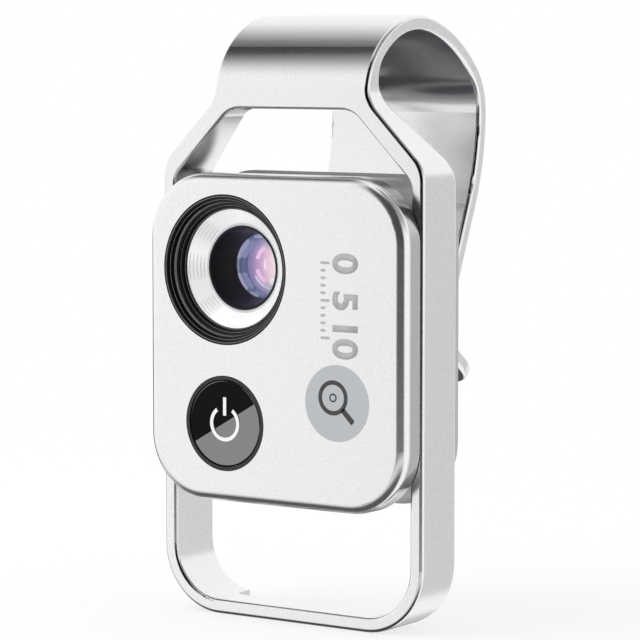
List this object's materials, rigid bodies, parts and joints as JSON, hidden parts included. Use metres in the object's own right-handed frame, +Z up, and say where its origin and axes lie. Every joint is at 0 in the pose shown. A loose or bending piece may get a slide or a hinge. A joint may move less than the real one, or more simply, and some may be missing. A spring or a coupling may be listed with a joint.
{
  "type": "clip-on phone lens",
  "caption": "Clip-on phone lens: flat lens module with ring light and push button, sliding in a one-piece spring clip that rolls over a phone's edge.",
  "frame": {"origin": "underside of the clip's bottom bar, at the middle of its width and depth", "axes": "+Z up the clip towards its roll, +Y to the back (towards the phone), +X to the right seen from the front"},
  "size_m": [0.03, 0.024, 0.0579],
  "materials": {
    "frame_metal": "satin",
    "shell_metal": "satin",
    "chassis_plastic": "matt",
    "black_plastic": "semi-matt",
    "gloss_black": "gloss",
    "reflector": "polished",
    "clear_plastic": "frosted",
    "optical_glass": "coated",
    "soft_rubber": "matt",
    "steel": "plain",
    "board": "solder mask",
    "led_yellow": "phosphor",
    "ceramic_tan": "plain",
    "battery_foil": "foil"
  },
  "bodies": {
    "clip": {"clip_frame": "frame_metal", "clip_pad": "soft_rubber"},
    "module": {"front_shell": "shell_metal", "chassis": "chassis_plastic", "rear_plate": "chassis_plastic", "rear_screws": "steel", "board_screws": "steel", "lens_bezel": "black_plastic", "reflector_cone": "reflector", "light_guide": "clear_plastic", "lens_barrel": "black_plastic", "front_lens": "optical_glass", "lens_spacer": "black_plastic", "rear_lens": "optical_glass", "retaining_ring": "black_plastic", "eyepiece_gasket": "soft_rubber", "button_ring": "black_plastic", "main_board": "board", "ring_leds": "led_yellow", "tact_switch": "black_plastic", "charger_chip": "black_plastic", "driver_chip": "black_plastic", "board_passives": "ceramic_tan", "battery_tape": "soft_rubber", "battery": "battery_foil", "charging_socket": "steel", "socket_tongue": "black_plastic"},
    "button": {"button_cap": "gloss_black", "power_symbol": "reflector", "switch_plunger": "chassis_plastic"}
  },
  "joints": [
    {"name": "module_slide", "type": "slide", "parent": "clip", "child": "module", "axis": [0, 0, 1], "range_m": [-0.0099, 0.002]},
    {"name": "button_press", "type": "slide", "parent": "module", "child": "button", "axis": [0, 1, 0], "range_m": [0, 0.0002], "stiffness_N_per_m": 500}
  ]
}
